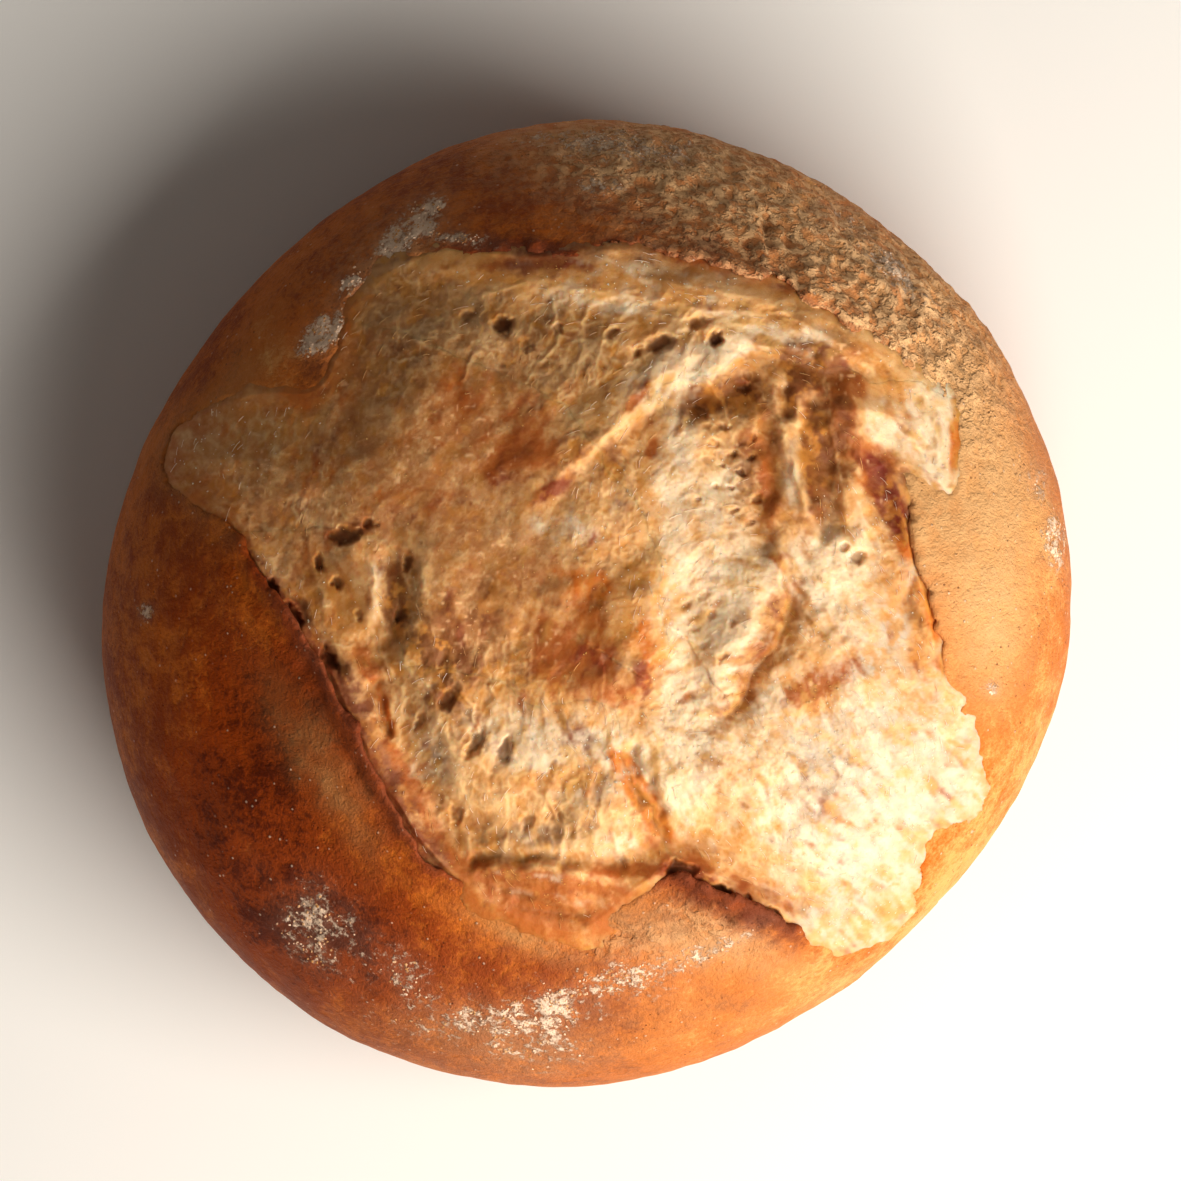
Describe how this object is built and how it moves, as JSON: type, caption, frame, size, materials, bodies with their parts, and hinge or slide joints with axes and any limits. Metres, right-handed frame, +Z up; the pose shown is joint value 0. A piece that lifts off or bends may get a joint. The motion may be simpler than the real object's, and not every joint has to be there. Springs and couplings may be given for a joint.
{
  "type": "bread roll",
  "caption": "Round crusty bread roll with a flat base and a torn-open cross cut showing its crumb; a food item to set on a table, board or plate.",
  "frame": {"origin": "middle of the flat base, on the surface that the roll stands on", "axes": "+Z up through the crown; +X and +Y are the right and the far side as seen from above with the widest arm of the tear to the lower right"},
  "size_m": [0.11, 0.11, 0.057],
  "materials": {
    "crust": "baked golden to dark brown crust with a slight sheen and flour dust; torn cream crumb inside the opening"
  },
  "bodies": {
    "root": {"roll": "crust"}
  },
  "joints": []
}
